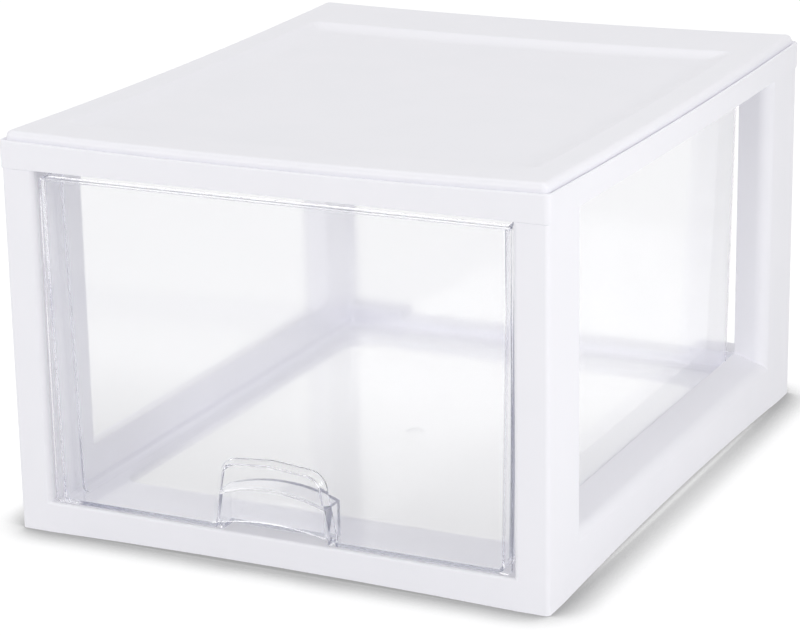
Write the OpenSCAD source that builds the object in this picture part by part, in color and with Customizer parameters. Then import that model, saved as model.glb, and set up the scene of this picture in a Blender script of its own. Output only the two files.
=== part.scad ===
// Stackable drawer box: an open frame on four posts, a cover that snaps onto the
// posts, and a clear drawer that slides out to the front.
// Millimetres, +Z up, +Y to the back. The origin is the bottom centre.

/* [Overall] */
// Width over the cover
box_w = 365; // [320:1:420]
// Depth over the cover, front to back
box_d = 444; // [380:1:520]
// Height to the top of the stacking plate
box_h = 260; // [200:1:320]

/* [Cover] */
// Height of the cover's straight skirt
skirt_h = 17.8; // [14:0.1:24]
// Wall of the skirt
skirt_wall = 2.2; // [1.8:0.1:2.8]
// Thickness of the cover's plate
cover_t = 2.4; // [1.6:0.1:3.2]
// Radius of the skirt's vertical corners
corner_r = 4; // [3.5:0.5:12]
// Radius along the skirt's upper edge
skirt_edge_r = 1.2; // [0.6:0.1:1.6]
// Rise of the stacking plate above the skirt
plate_rise = 5.5; // [4.5:0.1:7]
// Distance from the skirt's face in to the stacking plate's side
plate_inset = 3; // [2.8:0.1:5]
// Radius along the stacking plate's upper edge
plate_edge_r = 4; // [2:0.1:4.2]
// Radius of the stacking plate's vertical corners
plate_corner_r = 4.4; // [4.3:0.1:7]
// Margin of the plate beside its recess
recess_side = 25; // [18:0.5:40]
// Margin of the plate in front of its recess
recess_front = 39; // [30:0.5:60]
// Margin of the plate behind its recess
recess_back = 65; // [30:0.5:90]
// Depth of the recess
recess_depth = 6.5; // [3:0.1:8]
// Radius of the recess's corners
recess_corner_r = 6; // [4:0.5:12]
// Radius where the recess's wall meets its floor
recess_fillet_r = 2.5; // [1:0.1:2.8]
// Radius along the recess's upper edge
recess_lip_r = 1.5; // [0.5:0.1:2]

/* [Body] */
// How far the skirt stands out past the body
skirt_proud = 0.9; // [0.4:0.1:1.4]
// Wall of the body
body_wall = 1.8; // [1.4:0.1:2]
// Radius of the body's vertical corners
body_corner_r = 3; // [3:0.5:12]
// Width of a post, seen from the front
post_w = 23; // [16:0.2:30]
// Depth of a post, seen from the side
post_d = 53; // [40:1:70]
// Radius round the outer edges of the side windows
side_edge_r = 10; // [6:0.5:12]
// Radius of the posts' edges beside the drawer opening
front_edge_r = 5; // [3:0.5:7]
// Radius along the front rail's upper edge
sill_edge_r = 2; // [1:0.1:3]
// Height at which the side rail's face starts to round over
side_face_h = 27; // [25:0.5:29]
// Height of the side rail's inner crest
crest_h = 42.5; // [40:0.5:50]
// Height of the shelf that carries the drawer
shelf_h = 20.5; // [16:0.5:24]
// Thickness of the shelf
shelf_t = 2.2; // [1.6:0.1:3]
// Depth of the shelf at the front
shelf_front = 50; // [35:1:60]
// Width of the shelf inside each side rail
shelf_side = 23.5; // [18:0.5:40]
// Depth of the shelf inside the back rail
shelf_back = 37; // [25:1:60]
// Radius of the base opening's front corners
opening_front_r = 11; // [6:0.5:20]
// Radius of the base opening's back corners
opening_back_r = 22; // [10:0.5:30]
// Depth of the turned-down lip round the base opening
shelf_lip = 4; // [2:0.5:6]
// Height of the back rail
back_rail_h = 26; // [24:0.5:32]
// Thickness of the back rail
back_rail_t = 21; // [16:0.5:26]
// Rise of the back rail's raised ends
back_step_rise = 6; // [3:0.5:10]
// Length of each raised end
back_step_len = 45; // [25:1:70]
// Rise of the arch under each side rail
side_arch = 4.5; // [1:0.1:5]
// Rise of the arch under the front and back rails
front_arch = 2; // [0.5:0.1:4]
// Length of each foot beside the arches
foot_len = 22; // [16:1:40]

/* [Snap fit] */
// Clearance between the skirt and the posts' upper ends
snap_clear = 0.3; // [0.2:0.05:0.5]
// Clearance between the skirt's lower edge and the body's shoulder
seat_clear = 0.2; // [0.1:0.05:0.3]
// Radius of the snap bead on each post
bead_r = 0.9; // [0.7:0.05:1.1]
// Length of each snap bead
bead_len = 24; // [14:1:32]

/* [Drawer] */
// Wall of the drawer
drawer_wall = 2; // [1.6:0.1:2.6]
// Thickness of the front panel
panel_t = 2.4; // [2:0.1:3]
// Distance from the body's face back to the front panel
panel_setback = 3.1; // [2:0.1:5]
// Gap between the front panel and each post
panel_gap = 2.2; // [1.5:0.1:5]
// Gap between the front panel and the skirt above it
top_gap = 4.7; // [3:0.1:8]
// Running clearance between the drawer and its shelf
run_clear = 0.3; // [0.2:0.05:0.5]
// Gap between the drawer's lower side and the side rail
side_gap = 10.5; // [9:0.5:16]
// Gap between the drawer's lower back and the back rail
back_gap = 14; // [10:0.5:25]
// How far the drawer widens from its floor to its rim, on each side
draft = 4.5; // [2:0.1:6]
// Radius of the drawer's lower back corners
tub_corner_r = 5.5; // [5.5:0.5:12]
// Radius of the drawer's front corners
tub_front_r = 4; // [3:0.5:8]
// Radius along the drawer's lower edge
tub_edge_r = 5; // [3:0.5:5]
// How far each side of the drawer steps out just behind the front panel
bay_step = 3.5; // [1:0.1:4]
// Length of that wider part, with the panel
bay_len = 20; // [12:1:40]
// Width of the rim's flange
rim_w = 4; // [2.5:0.1:4.2]
// Thickness of the rim's flange
rim_t = 2; // [1.5:0.1:3]
// Radius of the moulding mark in the drawer's floor
gate_r = 6; // [4:0.5:10]
// Depth of the moulding mark
gate_depth = 0.4; // [0.2:0.05:0.6]

/* [Pull] */
// Width of the pull at its foot
pull_w = 87; // [70:1:110]
// Height of the pull's crown above the drawer's underside
pull_h = 49.7; // [44:0.1:60]
// How much narrower each side of the pull is at its shoulder
pull_taper = 6.5; // [3:0.5:10]
// Radius of the pull's shoulders
pull_shoulder_r = 13; // [9:0.5:16]
// Radius of the pull's crown
pull_crown_r = 32; // [28:1:36]
// Drop from the crown to the shoulders
pull_drop = 2; // [1:0.1:4]
// How far the pull stands out from the panel
pull_proud = 5.7; // [3.2:0.1:6]
// How much smaller the pull's face is than its foot, all round
pull_draft = 2; // [1:0.1:3]
// Width of the finger pocket
pocket_w = 72; // [56:1:74]
// Height of the finger pocket's crown above the drawer's underside
pocket_h = 30.2; // [26:0.1:34]
// Fall of the pocket's ceiling from its middle to its sides
pocket_fall = 6.5; // [3:0.5:9]
// Depth of the pocket behind the panel's face
pocket_d = 12; // [8:0.5:18]
// Height of the lip's arched edge above the drawer's underside
lip_h = 10; // [7:0.5:13]
// Fall of the lip's edge from its middle to its sides
lip_fall = 6; // [3:0.5:7]

/* [Drawer stop] */
// Width of each stop tab at the drawer's back
tab_w = 30; // [20:1:40]
// Thickness of each stop tab
tab_t = 3; // [2:0.5:4]
// Height of each stop tab above the rim
tab_h = 9; // [7:0.5:10]
// Distance from the middle to each stop tab
tab_x = 75; // [50:1:100]
// Distance from the skirt's face back to the stop rib under the cover
rib_y = 23; // [18:0.5:28]
// Thickness of the stop rib
rib_t = 2; // [1.5:0.1:3]
// Gap between the stop rib and the drawer's rim
rib_gap = 5; // [3:0.5:5.5]

/* [Hidden] */
$fn = 72;
edge_fn = 32;
over = 1;

// Levels of the cover
skirt_top = box_h - plate_rise;
skirt_z = skirt_top - skirt_h;
recess_z = box_h - recess_depth;
// Body, with its shoulder under the skirt and its posts' narrower upper ends
body_hw = box_w/2 - skirt_proud;
body_hd = box_d/2 - skirt_proud;
shoulder_z = skirt_z - seat_clear;
tenon_hw = box_w/2 - skirt_wall - snap_clear;
tenon_hd = box_d/2 - skirt_wall - snap_clear;
tenon_top = recess_z - cover_t - snap_clear;
tenon_r = corner_r - skirt_wall - snap_clear;
// Inner faces of the rails and posts
inner_hw = body_hw - post_w;
reveal_hd = body_hd - post_d;
back_y = body_hd - back_rail_t;
// Base opening inside the shelf
open_hw = inner_hw - shelf_side;
open_front = shelf_front - body_hd;
open_back = back_y - shelf_back;
// Side rail: an arc rounds the outer face over, and a tangent slope climbs to the crest
edge_bite = 0.2;
arc_x = body_hw - side_edge_r + edge_bite;
slope_x = inner_hw - arc_x;
slope_z = crest_h - side_face_h;
slope_a = atan2(slope_z, slope_x) - acos(side_edge_r/norm([slope_x, slope_z]));
// Snap bead on the posts and its groove in the skirt
bead_x = tenon_hw - bead_r/3;
bead_y = body_hd - post_d/2;
bead_z = skirt_z + skirt_h/2;
// Drawer
tub_z = shelf_h + run_clear;
tub_top = skirt_z - top_gap;
tub_hw = inner_hw - side_gap;
tub_back = back_y - back_gap;
tub_a = atan(draft/(tub_top - tub_z));
arc_bite = 0.02;
panel_y = panel_setback - body_hd;
panel_hw = inner_hw - panel_gap;
panel_r = 3;
pull_front = panel_y - pull_proud;
tab_y = tub_back + draft - drawer_wall - tab_t;

// Rectangle with its own radii at the front and the back corners
module plan(half_w, y0, y1, front_r, back_r) {
    for (s = [-1, 1]) {
        translate([s*(half_w - front_r), y0 + front_r]) circle(front_r);
        translate([s*(half_w - back_r), y1 - back_r]) circle(back_r);
    }
    translate([-half_w, y0 + front_r]) square([2*half_w, y1 - y0 - front_r - back_r]);
    translate([front_r - half_w, y0]) square([2*(half_w - front_r), y1 - y0 - back_r]);
    translate([back_r - half_w, y0 + front_r]) square([2*(half_w - back_r), y1 - y0 - front_r]);
}

module slab(half_w, y0, y1, front_r, back_r, z0, z1) {
    translate([0, 0, z0]) linear_extrude(z1 - z0) plan(half_w, y0, y1, front_r, back_r);
}

// Solid whose edge follows a profile: the profile's x runs out from the corner centres
module swept(half_w, y0, y1, r, z0, z1) {
    mid_w = half_w - r;
    mid_d = y1 - y0 - 2*r;
    for (s = [-1, 1]) {
        translate([s*mid_w, y0 + r, 0]) rotate(s < 0 ? 180 : 270)
            rotate_extrude(angle = 90) children();
        translate([s*mid_w, y1 - r, 0]) rotate(s < 0 ? 90 : 0)
            rotate_extrude(angle = 90) children();
        translate([s*mid_w, (y0 + y1)/2, 0]) rotate(s < 0 ? 180 : 0) rotate([90, 0, 0])
            linear_extrude(mid_d, center = true) children();
    }
    translate([0, y0 + r, 0]) rotate(270) rotate([90, 0, 0])
        linear_extrude(2*mid_w, center = true) children();
    translate([0, y1 - r, 0]) rotate(90) rotate([90, 0, 0])
        linear_extrude(2*mid_w, center = true) children();
    translate([-mid_w, y0 + r, z0]) cube([2*mid_w, mid_d, z1 - z0]);
}

// Disc in a profile, kept on the outer side of the corner centre
module disc(x, z, r) {
    intersection() {
        translate([x, z]) circle(r, $fn = edge_fn);
        translate([0, z - r]) square([x + r, 2*r]);
    }
}

// Profile of an edge that is rounded at its top
module round_top(r, z0, z1, edge_r) {
    translate([0, z0]) square([r, z1 - edge_r - z0]);
    translate([0, z0]) square([r - edge_r, z1 - z0]);
    disc(r - edge_r, z1 - edge_r, edge_r);
}

// Extrudes a drawing made in x and z from y0 to y1
module along_y(y0, y1) {
    translate([0, y1, 0]) rotate([90, 0, 0]) linear_extrude(y1 - y0) children();
}

// Profile of the recess, cut down from the plate's top
module recess_profile() {
    translate([0, recess_z + recess_fillet_r])
        square([recess_corner_r, recess_depth - recess_fillet_r + over]);
    translate([0, recess_z]) square([recess_corner_r - recess_fillet_r, recess_fillet_r]);
    disc(recess_corner_r - recess_fillet_r, recess_z + recess_fillet_r, recess_fillet_r);
    difference() {
        translate([0, box_h - recess_lip_r])
            square([recess_corner_r + recess_lip_r, recess_lip_r + over]);
        translate([recess_corner_r + recess_lip_r, box_h - recess_lip_r])
            circle(recess_lip_r, $fn = edge_fn);
    }
}

module cover_recess() {
    swept(box_w/2 - recess_side, recess_front - box_d/2, box_d/2 - recess_back, recess_corner_r,
          recess_z, box_h + over) recess_profile();
}

// Hollow under the cover: deep round the edge, shallower under the recess
module cover_hollow() {
    in_hw = box_w/2 - skirt_wall;
    in_hd = box_d/2 - skirt_wall;
    in_r = corner_r - skirt_wall;
    rim_hw = box_w/2 - plate_inset - skirt_wall;
    rim_hd = box_d/2 - plate_inset - skirt_wall;
    slab(in_hw, -in_hd, in_hd, in_r, in_r, skirt_z - over, recess_z - cover_t);
    difference() {
        slab(rim_hw, -rim_hd, rim_hd, plate_edge_r, plate_edge_r,
             recess_z - cover_t - over, box_h - cover_t);
        slab(box_w/2 - recess_side + skirt_wall,
             recess_front - skirt_wall - box_d/2, box_d/2 - recess_back + skirt_wall,
             recess_corner_r + skirt_wall, recess_corner_r + skirt_wall,
             recess_z - cover_t - 2*over, box_h);
    }
}

module snap_beads(r, length) {
    for (sx = [-1, 1], sy = [-1, 1])
        translate([sx*bead_x, sy*bead_y, bead_z]) rotate([90, 0, 0])
            cylinder(r = r, h = length, center = true);
}

module stop_rib() {
    rib_z = tub_top + rib_gap;
    rib_hw = tab_x + tab_w;
    translate([-rib_hw, rib_y - box_d/2, rib_z]) cube([2*rib_hw, rib_t, box_h - cover_t/2 - rib_z]);
}

module top_cover() {
    plate_hw = box_w/2 - plate_inset;
    plate_hd = box_d/2 - plate_inset;
    color("white") {
        difference() {
            union() {
                swept(box_w/2, -box_d/2, box_d/2, corner_r, skirt_z, skirt_top)
                    round_top(corner_r, skirt_z, skirt_top, skirt_edge_r);
                swept(plate_hw, -plate_hd, plate_hd, plate_corner_r, skirt_top - over, box_h)
                    round_top(plate_corner_r, skirt_top - over, box_h, plate_edge_r);
            }
            cover_hollow();
            cover_recess();
            snap_beads(bead_r + snap_clear, bead_len + 2*snap_clear);
        }
        difference() {
            stop_rib();
            cover_recess();
        }
    }
}

// Outline of the side rail's top in x and z, set inside the outer surface by inset
module rail_outline(inset, z0) {
    arc = [arc_x, side_face_h];
    touch = arc + (side_edge_r - inset)*[cos(slope_a), sin(slope_a)];
    low_x = inner_hw + inset;
    crest_z = touch[1] + (touch[0] - low_x)/tan(slope_a);
    polygon([[low_x, z0], [body_hw - inset, z0], [body_hw - inset, side_face_h], arc, touch,
             [low_x, crest_z]]);
    translate(arc) circle(side_edge_r - inset);
}

// Space above a side rail, out to past the body's side
module above_rail(top) {
    difference() {
        translate([inner_hw - over, side_face_h]) square([post_w + 3*over, top - side_face_h]);
        rail_outline(0, 0);
    }
}

// Gap between two posts, with rounded outer edges, in x and y
module window_plan(x_in, x_out, half, r, bite) {
    translate([x_in, -half]) square([x_out - x_in + over, 2*half]);
    for (s = [-1, 1]) difference() {
        translate([x_out - r, s*half - (s < 0 ? r : 0)]) square([r + over, r]);
        translate([x_out - r + bite, s*(half + r)]) circle(r);
    }
}

module side_windows() {
    for (s = [0, 180]) rotate(s) intersection() {
        linear_extrude(tenon_top + 2*over)
            window_plan(inner_hw - over, body_hw, reveal_hd, side_edge_r, edge_bite);
        along_y(-body_hd, body_hd) above_rail(tenon_top + over);
    }
}

// Drawer opening: rounded front edges at the posts and along the front rail
module front_opening() {
    intersection() {
        linear_extrude(tenon_top + over) rotate(-90)
            window_plan(-open_front, body_hd, inner_hw, front_edge_r, edge_bite);
        translate([-body_hw, 0, 0]) rotate([90, 0, 90]) linear_extrude(2*body_hw) {
            translate([-body_hd - over, shelf_h]) square([shelf_front + 2*over, tenon_top]);
            difference() {
                translate([-body_hd - over, shelf_h - sill_edge_r])
                    square([sill_edge_r + over, sill_edge_r]);
                translate([sill_edge_r - body_hd, shelf_h - sill_edge_r]) circle(sill_edge_r);
            }
        }
    }
}

module back_window() {
    step_x = inner_hw - back_step_len;
    translate([-step_x, back_y - over, back_rail_h]) cube([2*step_x, back_rail_t + 2*over, tenon_top]);
    translate([-inner_hw, back_y - over, back_rail_h + back_step_rise])
        cube([2*inner_hw, back_rail_t + 2*over, tenon_top]);
}

// Hollows that open downwards: under the shelf, and up inside the posts and rails
module body_hollows() {
    under_z = shelf_h - shelf_t;
    in_hw = body_hw - body_wall;
    in_hd = body_hd - body_wall;
    in_r = body_corner_r - body_wall;
    post_in_x = inner_hw + body_wall;
    post_in_y = reveal_hd + side_edge_r;
    step_x = inner_hw - back_step_len;
    slab(in_hw, -in_hd, in_hd, in_r, in_r, -over, under_z);
    for (sx = [0, 1], sy = [0, 1]) mirror([sx, 0, 0]) mirror([0, sy, 0])
        translate([post_in_x, post_in_y, under_z - over])
            cube([tenon_hw - body_wall - post_in_x, tenon_hd - 2*body_wall - post_in_y,
                  tenon_top - body_wall - under_z + over]);
    for (s = [0, 180]) rotate(s) along_y(-reveal_hd, reveal_hd) rail_outline(body_wall, under_z - over);
    translate([-inner_hw, back_y + body_wall, under_z - over])
        cube([2*inner_hw, in_hd - back_y - body_wall, back_rail_h - body_wall - under_z + over]);
    for (s = [0, 1]) mirror([s, 0, 0])
        translate([step_x + body_wall, back_y + body_wall, under_z - over])
        cube([back_step_len - body_wall, in_hd - back_y - body_wall,
              back_rail_h + back_step_rise - body_wall - under_z + over]);
}

// Long shallow arches that leave the box standing on its four corners
module arch_cut(half_span, rise, half_len) {
    arch_r = (half_span*half_span + rise*rise)/(2*rise);
    intersection() {
        translate([0, 0, rise - arch_r]) rotate([90, 0, 0])
            cylinder(r = arch_r, h = 2*half_len, center = true, $fn = 3600);
        translate([-half_span, -half_len, -over]) cube([2*half_span, 2*half_len, rise + 2*over]);
    }
}

module base_opening(grow, z0, z1) {
    slab(open_hw + grow, open_front - grow, open_back + grow,
         opening_front_r + grow, opening_back_r + grow, z0, z1);
}

module frame_body() {
    color("whitesmoke") difference() {
        union() {
            difference() {
                union() {
                    slab(body_hw, -body_hd, body_hd, body_corner_r, body_corner_r, 0, shoulder_z);
                    slab(tenon_hw, -tenon_hd, tenon_hd, tenon_r, tenon_r, shoulder_z - over, tenon_top);
                    snap_beads(bead_r, bead_len);
                }
                translate([-inner_hw, open_front - over, shelf_h])
                    cube([2*inner_hw, back_y - open_front + over, tenon_top]);
                front_opening();
                back_window();
                side_windows();
                body_hollows();
            }
            base_opening(body_wall, shelf_h - shelf_t - shelf_lip, shelf_h - shelf_t/2);
        }
        base_opening(0, -over, shelf_h + over);
        arch_cut(body_hw - foot_len, front_arch, body_hd + over);
        rotate(90) arch_cut(body_hd - foot_len, side_arch, body_hw + over);
    }
}

// Drafted wall of the drawer over a rounded lower edge, set inside the outer surface by inset
module tub_profile(inset, top) {
    arc = [tub_corner_r - tub_edge_r*(1 - sin(tub_a))/cos(tub_a), tub_z + tub_edge_r];
    touch = arc + (tub_edge_r - inset - arc_bite)*[cos(tub_a), -sin(tub_a)];
    top_x = touch[0] + (top - touch[1])*tan(tub_a);
    polygon([[0, tub_z + inset], [arc[0], tub_z + inset], arc, touch, [top_x, top], [0, top]]);
    disc(arc[0], arc[1], tub_edge_r - inset);
}

module tub_part(half_w, inset, front_y, top) {
    intersection() {
        swept(half_w, panel_y - 2*tub_corner_r, tub_back, tub_corner_r, tub_z + inset, top)
            tub_profile(inset, top);
        slab(half_w + draft - inset, front_y, box_d/2, tub_front_r - inset, over, 0, top);
    }
}

// Drawer's outer or inner form: the long part, and the wider one behind the panel
module tub_solid(inset, front_y, top) {
    tub_part(tub_hw, inset, front_y, top);
    intersection() {
        tub_part(tub_hw + bay_step, inset, front_y, top);
        translate([-box_w/2, -box_d/2, 0])
            cube([box_w, box_d/2 + panel_y + bay_len - inset, top + over]);
    }
}

// Arch-shaped outline of the pull in x and z
module pull_outline(inset) {
    shoulder = [pull_w/2 - pull_taper - pull_shoulder_r, tub_z + pull_h - pull_drop - pull_shoulder_r];
    intersection() {
        hull() {
            translate([inset - pull_w/2, tub_z]) square([pull_w - 2*inset, over]);
            for (s = [-1, 1]) translate([s*shoulder[0], shoulder[1]])
                circle(pull_shoulder_r - inset, $fn = 64);
            translate([0, tub_z + pull_h - pull_crown_r]) circle(pull_crown_r - inset, $fn = 128);
        }
        translate([-pull_w/2, tub_z]) square([pull_w, pull_h]);
    }
}

module pull_boss(inset, back_y0) {
    hull() {
        along_y(pull_front + inset, pull_front + inset + over/10) pull_outline(pull_draft + inset);
        along_y(panel_y + inset/2, back_y0) pull_outline(inset);
    }
}

// Region under a long arc whose crown is at crown_z, within half_w of the middle
module under_arc(half_w, crown_z, fall, grow) {
    arc_r = (half_w*half_w + fall*fall)/(2*fall) + grow;
    intersection() {
        translate([0, crown_z + grow - arc_r]) circle(arc_r, $fn = 360);
        translate([-half_w - grow, -over]) square([2*(half_w + grow), crown_z + grow + 2*over]);
    }
}

module pocket_outline(grow) {
    under_arc(pocket_w/2, tub_z + pocket_h, pocket_fall, grow);
}

module drawer() {
    mid_y = (panel_y + tub_back)/2;
    bay_rim_hw = tub_hw + draft + bay_step - drawer_wall/2;
    color("lightcyan", 0.35) difference() {
        union() {
            difference() {
                union() {
                    tub_solid(0, panel_y, tub_top);
                    along_y(panel_y, panel_y + panel_t)
                        plan(panel_hw, tub_z, tub_top, panel_r, panel_r);
                    slab(tub_hw + draft + rim_w, panel_y, tub_back + draft + rim_w,
                         over, tub_corner_r + draft + rim_w, tub_top - rim_t, tub_top);
                    pull_boss(0, panel_y + over);
                }
                tub_solid(drawer_wall, panel_y + panel_t, tub_top + over);
                difference() {
                    pull_boss(drawer_wall, panel_y + panel_t + over);
                    along_y(pull_front, panel_y + 2*panel_t) pocket_outline(drawer_wall);
                }
            }
            translate([-bay_rim_hw, panel_y, tub_top - rim_t])
                cube([2*bay_rim_hw, rim_w + drawer_wall, rim_t]);
            for (s = [-1, 1]) translate([s*tab_x - tab_w/2, tab_y, tub_top - 3*rim_t])
                cube([tab_w, tab_t + drawer_wall/2, tab_h + 3*rim_t]);
            intersection() {
                along_y(panel_y, panel_y + pocket_d + drawer_wall) pocket_outline(drawer_wall);
                translate([-box_w/2, -box_d/2, tub_z]) cube([box_w, box_d, pocket_h + 2*drawer_wall]);
            }
        }
        along_y(pull_front + drawer_wall, panel_y + pocket_d) pocket_outline(0);
        along_y(pull_front - over, panel_y) under_arc(pull_w/2, tub_z + lip_h, lip_fall, 0);
        translate([0, mid_y, tub_z + drawer_wall - gate_depth]) cylinder(r = gate_r, h = drawer_wall);
    }
}

frame_body();
top_cover();
drawer();
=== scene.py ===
from math import radians, sin, cos
import bmesh
import bpy
from mathutils import Matrix, Vector


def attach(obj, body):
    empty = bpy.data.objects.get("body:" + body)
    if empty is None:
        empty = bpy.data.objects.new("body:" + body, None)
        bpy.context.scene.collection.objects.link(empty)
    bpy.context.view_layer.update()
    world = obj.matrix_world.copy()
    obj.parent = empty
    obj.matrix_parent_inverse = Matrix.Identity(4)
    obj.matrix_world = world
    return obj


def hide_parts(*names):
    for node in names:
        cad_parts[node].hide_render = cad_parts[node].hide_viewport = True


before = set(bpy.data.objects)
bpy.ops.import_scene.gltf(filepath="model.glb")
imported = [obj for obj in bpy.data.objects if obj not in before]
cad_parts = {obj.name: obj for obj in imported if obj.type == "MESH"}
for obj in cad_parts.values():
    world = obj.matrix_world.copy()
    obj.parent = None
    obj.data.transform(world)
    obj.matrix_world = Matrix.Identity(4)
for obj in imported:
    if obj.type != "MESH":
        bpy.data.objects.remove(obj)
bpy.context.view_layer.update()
millimetre = 0.001


# Colours are written as sRGB hex and turned to linear here
def linear(hexColour):
    parts = [int(hexColour[i:i + 2], 16) / 255 for i in (1, 3, 5)]
    return [c / 12.92 if c <= 0.04045 else ((c + 0.055) / 1.055) ** 2.4 for c in parts] + [1]


# Adds a node: settings are its attributes, inputs are values or the sockets that feed them
def addNode(tree, kind, settings=None, inputs=None):
    node = tree.nodes.new(kind)
    for key, value in (settings or {}).items():
        setattr(node, key, value)
    for key, value in (inputs or {}).items():
        if isinstance(value, bpy.types.NodeSocket):
            tree.links.new(value, node.inputs[key])
        else:
            node.inputs[key].default_value = value
    return node


def newMaterial(name):
    material = bpy.data.materials.new(name)
    material.use_nodes = True
    material.node_tree.nodes.clear()
    return material, material.node_tree


# White polypropylene, injection moulded against a fine spark texture: satin, with a faint mottle.
# A real grain is too fine to show, so this one is drawn coarser
whitePlastic = {
    "colour": "#f2f1f6", "mottle": "#eeeef3", "ior": 1.49,
    "roughness": 0.42, "roughnessSpread": 0.05,
    "mottleSize": 40.0, "mottleDetail": 3.0,
    "grainSize": 0.9, "grainDetail": 2.0, "grainDepth": 0.012, "grainStrength": 0.6,
}


def makeWhitePlastic(s):
    material, tree = newMaterial("mouldedPolypropylene")
    place = addNode(tree, "ShaderNodeTexCoord").outputs["Object"]
    mottle = addNode(tree, "ShaderNodeTexNoise", None,
                     {"Vector": place, "Scale": 1 / (s["mottleSize"] * millimetre),
                      "Detail": s["mottleDetail"]})
    tint = addNode(tree, "ShaderNodeMix", {"data_type": "RGBA"},
                   {"Factor": mottle.outputs["Fac"],
                    "A": linear(s["colour"]), "B": linear(s["mottle"])})
    grain = addNode(tree, "ShaderNodeTexNoise", None,
                    {"Vector": place, "Scale": 1 / (s["grainSize"] * millimetre),
                     "Detail": s["grainDetail"]})
    bump = addNode(tree, "ShaderNodeBump", None,
                   {"Height": grain.outputs["Fac"], "Distance": s["grainDepth"] * millimetre,
                    "Strength": s["grainStrength"]})
    rough = addNode(tree, "ShaderNodeMapRange", None,
                    {"Value": grain.outputs["Fac"],
                     "To Min": s["roughness"] - s["roughnessSpread"],
                     "To Max": s["roughness"] + s["roughnessSpread"]})
    shader = addNode(tree, "ShaderNodeBsdfPrincipled", None,
                     {"Base Color": tint.outputs["Result"], "Roughness": rough.outputs["Result"],
                      "IOR": s["ior"], "Normal": bump.outputs["Normal"]})
    addNode(tree, "ShaderNodeOutputMaterial", None, {"Surface": shader.outputs["BSDF"]})
    return material


# Clear styrene copolymer, injection moulded in a polished tool: glassy, faintly cool
clearPlastic = {
    "colour": "#ffffff", "ior": 1.49, "roughness": 0.07, "leastRough": 0.6, "mostRough": 1.4,
    # The grey for rays past mostTurns is painted shade, standing for the darkening in the walls'
    # edges
    "mostTurns": 8.0, "paintedEdgeColour": "#d2d3da", "depthColour": "#cccfd7", "absorbed": 8.0,
    "hazeBack": "#212123", "hazeThrough": "#1c1c1e",
    "waveSize": 60.0, "waveDetail": 1.0, "waveDepth": 0.008, "waveStrength": 0.5,
}


def makeClearPlastic(s):
    material, tree = newMaterial("clearStyrene")
    place = addNode(tree, "ShaderNodeTexCoord").outputs["Object"]
    wave = addNode(tree, "ShaderNodeTexNoise", None,
                   {"Vector": place, "Scale": 1 / (s["waveSize"] * millimetre),
                    "Detail": s["waveDetail"]})
    bump = addNode(tree, "ShaderNodeBump", None,
                   {"Height": wave.outputs["Fac"], "Distance": s["waveDepth"] * millimetre,
                    "Strength": s["waveStrength"]})
    rough = addNode(tree, "ShaderNodeMapRange", None,
                    {"Value": wave.outputs["Fac"], "To Min": s["roughness"] * s["leastRough"],
                     "To Max": s["roughness"] * s["mostRough"]})
    shader = addNode(tree, "ShaderNodeBsdfPrincipled", None,
                     {"Base Color": linear(s["colour"]), "Roughness": rough.outputs["Result"],
                      "IOR": s["ior"], "Transmission Weight": 1.0,
                      "Normal": bump.outputs["Normal"]})
    # A little milkiness, as these plastics have
    milk = addNode(tree, "ShaderNodeBsdfDiffuse", None, {"Color": linear(s["hazeBack"])})
    glow = addNode(tree, "ShaderNodeBsdfTranslucent", None, {"Color": linear(s["hazeThrough"])})
    milky = addNode(tree, "ShaderNodeAddShader", None,
                    {0: milk.outputs["BSDF"], 1: glow.outputs["BSDF"]})
    hazy = addNode(tree, "ShaderNodeAddShader", None,
                   {0: shader.outputs["BSDF"], 1: milky.outputs["Shader"]})
    # Painted shade at the walls' edges: a ray that has turned more than mostTurns times passes
    # through a fixed grey, which stands for the light lost there and leaves the edges grey
    rays = addNode(tree, "ShaderNodeLightPath").outputs
    paintedEdgeMask = addNode(tree, "ShaderNodeMath", {"operation": "GREATER_THAN"},
                     {0: rays["Ray Depth"], 1: s["mostTurns"]})
    paintedEdgeShade = addNode(tree, "ShaderNodeBsdfTransparent", None, {"Color": linear(s["paintedEdgeColour"])})
    seenShader = addNode(tree, "ShaderNodeMixShader", None,
                         {0: paintedEdgeMask.outputs[0], 1: hazy.outputs["Shader"],
                          2: paintedEdgeShade.outputs["BSDF"]})
    # Lamps and bounced light reach what stands behind the clear walls
    straight = addNode(tree, "ShaderNodeMath", {"operation": "MAXIMUM"},
                       {0: rays["Is Shadow Ray"], 1: rays["Is Diffuse Ray"]})
    clear = addNode(tree, "ShaderNodeBsdfTransparent")
    mixed = addNode(tree, "ShaderNodeMixShader", None,
                    {0: straight.outputs[0], 1: seenShader.outputs["Shader"],
                     2: clear.outputs["BSDF"]})
    # Grey only where light travels far through the plastic, as at the edges
    body = addNode(tree, "ShaderNodeVolumeAbsorption", None,
                   {"Color": linear(s["depthColour"]), "Density": s["absorbed"]})
    addNode(tree, "ShaderNodeOutputMaterial", None,
            {"Surface": mixed.outputs["Shader"], "Volume": body.outputs["Volume"]})
    return material


whiteMaterial = makeWhitePlastic(whitePlastic)
clearMaterial = makeClearPlastic(clearPlastic)
print("materials done")


# A solid's own mesh, merged and with its flat faces made whole, ready to be worked on
def copySolid(s):
    bm = bmesh.new()
    bm.from_mesh(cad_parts[s["node"]].data)
    bmesh.ops.remove_doubles(bm, verts=bm.verts, dist=s["weld"] * millimetre)
    bmesh.ops.dissolve_limit(bm, angle_limit=radians(s["flatAngle"]),
                             verts=bm.verts, edges=bm.edges)
    return bm


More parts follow.
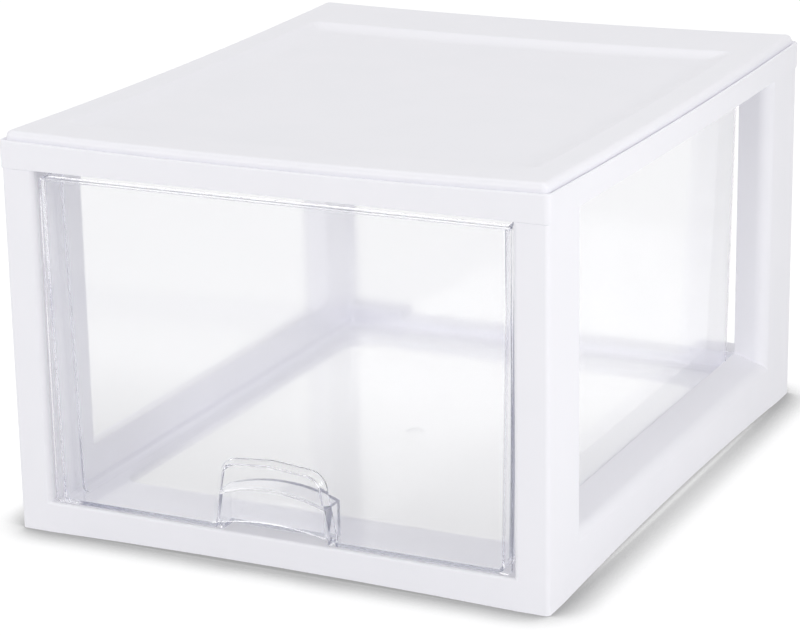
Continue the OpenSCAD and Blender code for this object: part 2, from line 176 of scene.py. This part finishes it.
# Rounds the sharp edges that a test picks out
def softenEdges(bm, s, wanted=lambda edge: True):
    sharp = [e for e in bm.edges
             if e.is_manifold and e.calc_face_angle() > radians(s["sharpAngle"]) and wanted(e)]
    bmesh.ops.bevel(bm, geom=sharp, offset=s["edge"] * millimetre, offset_type="OFFSET",
                    segments=s["segments"], profile=0.5, affect="EDGES", clamp_overlap=False,
                    material=-1)


# Makes the piece's object, which rides on its body and stands for its node
def finishPiece(bm, s, material):
    bmesh.ops.triangulate(bm, faces=bm.faces)
    mesh = bpy.data.meshes.new(s["piece"])
    bm.to_mesh(mesh)
    bm.free()
    for name in ("custom_normal", "sharp_edge", "sharp_face"):
        if name in mesh.attributes:
            mesh.attributes.remove(mesh.attributes[name])
    mesh.shade_smooth()
    mesh.set_sharp_from_angle(angle=radians(s["smoothAngle"]))
    mesh.materials.clear()
    mesh.materials.append(material)
    piece = bpy.data.objects.new(s["piece"], mesh)
    bpy.context.scene.collection.objects.link(piece)
    flat = piece.modifiers.new("flatFaces", "WEIGHTED_NORMAL")
    flat.mode = "FACE_AREA"
    flat.weight = 100  # 50 is neutral, and at 100 the widest faces decide
    flat.keep_sharp = True
    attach(piece, s["body"])
    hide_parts(s["node"])
    return piece


# Drawer: the solid itself
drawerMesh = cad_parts["drawer"].data
drawerMesh.materials.clear()
drawerMesh.materials.append(clearMaterial)


# Frame: the solid with its moulded edges a little round
bodyPiece = {
    "piece": "whiteFrame", "node": "frame_body", "body": "frame", "slot": "body_plastic",
    "weld": 0.02, "flatAngle": 0.2, "edge": 0.5, "segments": 2,
    "sharpAngle": 35.0, "smoothAngle": 32.0,
}


def makeBody(s):
    bm = copySolid(s)
    softenEdges(bm, s)
    return finishPiece(bm, s, whiteMaterial)


# Cover: the solid, sunk a little between its corners as thin mouldings are, with a crisp groove
# round its plate and a shallow dish for a recess. Lengths and levels are in millimetres
coverPiece = {
    "piece": "whiteCover", "node": "top_cover", "body": "frame", "slot": "cover_plastic",
    "weld": 0.01, "flatAngle": 0.2, "edge": 0.4, "segments": 2,
    "sharpAngle": 35.0, "smoothAngle": 32.0,
    "halfWidth": 179.5, "halfDepth": 219.0, "cutStep": 30.0, "cutReach": 0.001,
    "skirtBottom": 236.7, "edgeBand": 1.0, "ledge": 254.5, "top": 260.0, "levelReach": 0.05,
    "frontSag": 2.1, "sideSag": 3.0, "skirtSag": 1.3, "skirtIn": 180.0, "postStart": 168.0,
    "groove": 2.0,
    "recessFloor": 253.5, "recessHalfWidth": 157.5, "recessFront": -183.0, "recessBack": 157.0,
    "lip": 1.6, "slopeSteps": 9, "slopeRun": 16.0, "dishDepth": 4.6,
}


# Cuts the cover across and along, so that it can bend
def cutForSag(bm, s):
    for normal, half in ((Vector((1, 0, 0)), s["halfWidth"]), (Vector((0, 1, 0)), s["halfDepth"])):
        steps = int(half // s["cutStep"])
        for i in range(-steps, steps + 1):
            bmesh.ops.bisect_plane(bm, geom=bm.verts[:] + bm.edges[:] + bm.faces[:],
                                   dist=s["cutReach"] * millimetre, plane_no=normal,
                                   plane_co=normal * i * s["cutStep"] * millimetre)


# Cuts the recess's walls in rings and leans them inwards, steep at the rim and soft at the foot
def shapeRecess(bm, s):
    middle = (s["recessFront"] + s["recessBack"]) / 2
    halfLength = (s["recessBack"] - s["recessFront"]) / 2
    depthBefore = s["top"] - s["recessFloor"]

    def inRecess(v):
        return (abs(v.co.x / millimetre) < s["recessHalfWidth"] + s["lip"]
                and abs(v.co.y / millimetre - middle) < halfLength + s["lip"]
                and v.co.z / millimetre > s["recessFloor"] - s["levelReach"])

    for i in range(1, s["slopeSteps"]):
        level = s["recessFloor"] + depthBefore * i / s["slopeSteps"]
        walls = [f for f in bm.faces if all(inRecess(v) for v in f.verts)]
        # A dictionary's keys name each part once, in the mesh's own order
        parts = dict.fromkeys(part for f in walls for part in (*f.verts, *f.edges, f))
        bmesh.ops.bisect_plane(bm, geom=list(parts), dist=s["cutReach"] * millimetre,
                               plane_no=Vector((0, 0, 1)),
                               plane_co=Vector((0, 0, level * millimetre)))
    moved = {}
    for v in bm.verts:
        x, y, z = v.co / millimetre
        if inRecess(v):
            depth = min(1, max(0, (s["top"] - z) / depthBefore))
            moved[v] = (v.co.x - s["slopeRun"] * depth * x / s["recessHalfWidth"] * millimetre,
                        v.co.y - s["slopeRun"] * depth * (y - middle) / halfLength * millimetre,
                        (s["top"] - s["dishDepth"] * (1 - (1 - depth) ** 2)) * millimetre)
    return moved


# How far the cover sinks at a place, in millimetres
def sagAt(x, y, z, s):
    acrossFall = 1 - min(1, (x / s["halfWidth"]) ** 2)
    alongFall = 1 - min(1, (y / s["halfDepth"]) ** 2)
    rise = min(1, max(0, (z - s["skirtBottom"]) / (s["ledge"] - s["skirtBottom"])))
    drop = (s["frontSag"] * acrossFall + s["sideSag"] * alongFall) * rise * rise * (3 - 2 * rise)
    if abs(x) > s["skirtIn"]:
        drop += s["skirtSag"] * max(0, 1 - (y / s["postStart"]) ** 2) * (1 - rise)
    onLedge = (abs(z - s["ledge"]) < s["levelReach"]
               and abs(x) < s["halfWidth"] + s["levelReach"]
               and abs(y) < s["halfDepth"] + s["levelReach"])
    return drop + s["groove"] if onLedge else drop


def makeCover(s):
    bm = copySolid(s)
    lowEdge = (s["skirtBottom"] + s["edgeBand"]) * millimetre
    softenEdges(bm, s, lambda edge: all(v.co.z < lowEdge for v in edge.verts))
    cutForSag(bm, s)
    moved = shapeRecess(bm, s)
    for v in bm.verts:
        drop = sagAt(*(v.co / millimetre), s)
        if v in moved:
            v.co.x, v.co.y, v.co.z = moved[v]
        v.co.z -= drop * millimetre
    return finishPiece(bm, s, whiteMaterial)


for piece in (makeBody(bodyPiece), makeCover(coverPiece)):
    print("piece done", piece.name, len(piece.data.polygons))


# Floor and light: a white floor in a pale tent, with wide lamps low at the front and overhead, a
# small one close to the right side and a larger one further out. The floor's size and the lamps
# are in metres, and its reaches in millimetres
studio = {
    "floorSize": 12.0, "floorColour": "#f4f4f4", "floorGlow": 1.02, "shadeColour": "#3c3c40",
    # The contact levels set a painted contact shadow, darker glow close to whatever stands on the
    # floor
    "contactReach": 34.0, "contactStart": 0.5, "contactGlow": 0.36, "contactSamples": 8,
    # The under levels set painted shade beneath the box, darker towards its front
    "underFront": -110.0, "underBack": 110.0, "underFrontGlow": 0.64, "underBackGlow": 0.86,
    "worldColour": "#ffffff", "fillStrength": 0.46, "seenStrength": 0.96,
    "lamps": {
        "frontLamp": {"place": (-0.8, -2.6, 0.9), "width": 2.4, "height": 1.2, "watts": 26.0,
                      "aim": (0.0, 0.0, 0.0)},
        "rightLamp": {"place": (0.7, -0.2, 0.3), "width": 0.4, "height": 0.3, "watts": 0.75,
                      "aim": (0.18, -0.2, 0.05)},
        "sideLamp": {"place": (2.5, -0.5, 1.0), "width": 0.9, "height": 0.6, "watts": 12.0,
                     "aim": (0.0, 0.0, 0.15)},
        "topLamp": {"place": (-0.3, 0.4, 3.0), "width": 2.4, "height": 2.4, "watts": 29.0,
                    "aim": (0.0, 0.0, 0.0)},
    },
}


# Two switches: 1 for what the camera sees, mirrored or through the clear plastic too, and 1 for
# what it sees straight
def addSeen(tree):
    rays = addNode(tree, "ShaderNodeLightPath").outputs
    through = addNode(tree, "ShaderNodeMath", {"operation": "MAXIMUM"},
                      {0: rays["Is Glossy Ray"], 1: rays["Is Transmission Ray"]})
    seen = addNode(tree, "ShaderNodeMath", {"operation": "MAXIMUM"},
                   {0: rays["Is Camera Ray"], 1: through.outputs[0]})
    return seen.outputs[0], rays["Is Camera Ray"]


def makeFloor(s):
    bpy.ops.mesh.primitive_plane_add(size=s["floorSize"])
    floor = bpy.context.active_object
    floor.name = "studioFloor"
    material, tree = newMaterial("paleFloor")
    seen, straight = addSeen(tree)
    lit = addNode(tree, "ShaderNodeBsdfDiffuse", None, {"Color": linear(s["floorColour"])})
    shade = addNode(tree, "ShaderNodeBsdfDiffuse", None, {"Color": linear(s["shadeColour"])})
    # White all over, with a painted contact shadow: by ambient occlusion the glow is darker close
    # to whatever stands on it
    near = addNode(tree, "ShaderNodeAmbientOcclusion", {"samples": s["contactSamples"]},
                   {"Distance": s["contactReach"] * millimetre})
    paintedContactShadow = addNode(tree, "ShaderNodeMapRange", {"interpolation_type": "SMOOTHSTEP"},
                      {"Value": near.outputs["AO"], "From Min": s["contactStart"], "From Max": 1.0,
                       "To Min": s["contactGlow"], "To Max": s["floorGlow"]})
    # Painted shade: seen behind the clear walls, the glow darkens towards the front, standing for
    # the box's shadow there
    place = addNode(tree, "ShaderNodeTexCoord").outputs["Object"]
    along = addNode(tree, "ShaderNodeSeparateXYZ", None, {"Vector": place}).outputs["Y"]
    paintedUnderShade = addNode(tree, "ShaderNodeMapRange", None,
                    {"Value": along, "From Min": s["underFront"] * millimetre,
                     "From Max": s["underBack"] * millimetre,
                     "To Min": s["underFrontGlow"], "To Max": s["underBackGlow"]})
    glowHere = addNode(tree, "ShaderNodeMix", None,
                       {"Factor": straight, "A": paintedUnderShade.outputs["Result"],
                        "B": paintedContactShadow.outputs["Result"]})
    glow = addNode(tree, "ShaderNodeEmission", None, {"Strength": glowHere.outputs["Result"]})
    white = addNode(tree, "ShaderNodeAddShader", None, {0: shade.outputs[0], 1: glow.outputs[0]})
    both = addNode(tree, "ShaderNodeMixShader", None,
                   {0: seen, 1: lit.outputs[0], 2: white.outputs[0]})
    addNode(tree, "ShaderNodeOutputMaterial", None, {"Surface": both.outputs[0]})
    floor.data.materials.append(material)


def makeLight(s):
    world = bpy.data.worlds.new("studioWorld")
    bpy.context.scene.world = world
    world.use_nodes = True
    tree = world.node_tree
    tree.nodes.clear()
    seen, straight = addSeen(tree)
    behind = addNode(tree, "ShaderNodeMapRange", None,
                     {"Value": straight, "To Min": s["seenStrength"], "To Max": 1.0})
    strength = addNode(tree, "ShaderNodeMapRange", None,
                       {"Value": seen, "To Min": s["fillStrength"],
                        "To Max": behind.outputs["Result"]})
    back = addNode(tree, "ShaderNodeBackground", None,
                   {"Color": linear(s["worldColour"]), "Strength": strength.outputs["Result"]})
    addNode(tree, "ShaderNodeOutputWorld", None, {"Surface": back.outputs["Background"]})
    for name, lamp in s["lamps"].items():
        data = bpy.data.lights.new(name, "AREA")
        data.shape = "RECTANGLE"
        data.size = lamp["width"]
        data.size_y = lamp["height"]
        data.energy = lamp["watts"]
        light = bpy.data.objects.new(name, data)
        light.location = lamp["place"]
        beam = Vector(lamp["aim"]) - Vector(lamp["place"])
        light.rotation_euler = beam.to_track_quat("-Z", "Y").to_euler()
        bpy.context.scene.collection.objects.link(light)


makeFloor(studio)
makeLight(studio)
print("studio done")


# Camera: a long lens from the right of the front, a little above. Degrees, millimetres and pixels
shot = {
    "azimuth": 27.72, "elevation": 17.67, "roll": -1.63,
    "distance": 1902.6, "target": (-70.49, -35.37, 82.8),
    "focalPixels": 2847.5, "pictureWidth": 800, "pictureHeight": 636,
    "centreX": 306.8, "centreY": 342.0, "sensor": 36.0,
}


def makeCamera(s):
    a, e = radians(s["azimuth"]), radians(s["elevation"])
    back = Vector((sin(a) * cos(e), -cos(a) * cos(e), sin(e)))
    data = bpy.data.cameras.new("camera")
    data.sensor_width = s["sensor"]
    data.lens = s["focalPixels"] * s["sensor"] / s["pictureWidth"]
    data.shift_x = (s["pictureWidth"] / 2 - s["centreX"]) / s["pictureWidth"]
    data.shift_y = (s["centreY"] - s["pictureHeight"] / 2) / s["pictureWidth"]
    camera = bpy.data.objects.new("camera", data)
    bpy.context.scene.collection.objects.link(camera)
    level = (-back).to_track_quat("-Z", "Y").to_matrix()
    turn = level @ Matrix.Rotation(radians(s["roll"]), 3, "Z")
    place = (Vector(s["target"]) + back * s["distance"]) * millimetre
    camera.matrix_world = Matrix.Translation(place) @ turn.to_4x4()
    bpy.context.scene.camera = camera


makeCamera(shot)
bpy.context.scene.view_settings.view_transform = "Standard"

# The clear drawer stacks many walls, so light may turn often
lightTurns = {
    "max_bounces": 32, "diffuse_bounces": 8, "glossy_bounces": 32,
    "transmission_bounces": 32, "transparent_max_bounces": 32,
}
for key, value in lightTurns.items():
    setattr(bpy.context.scene.cycles, key, value)
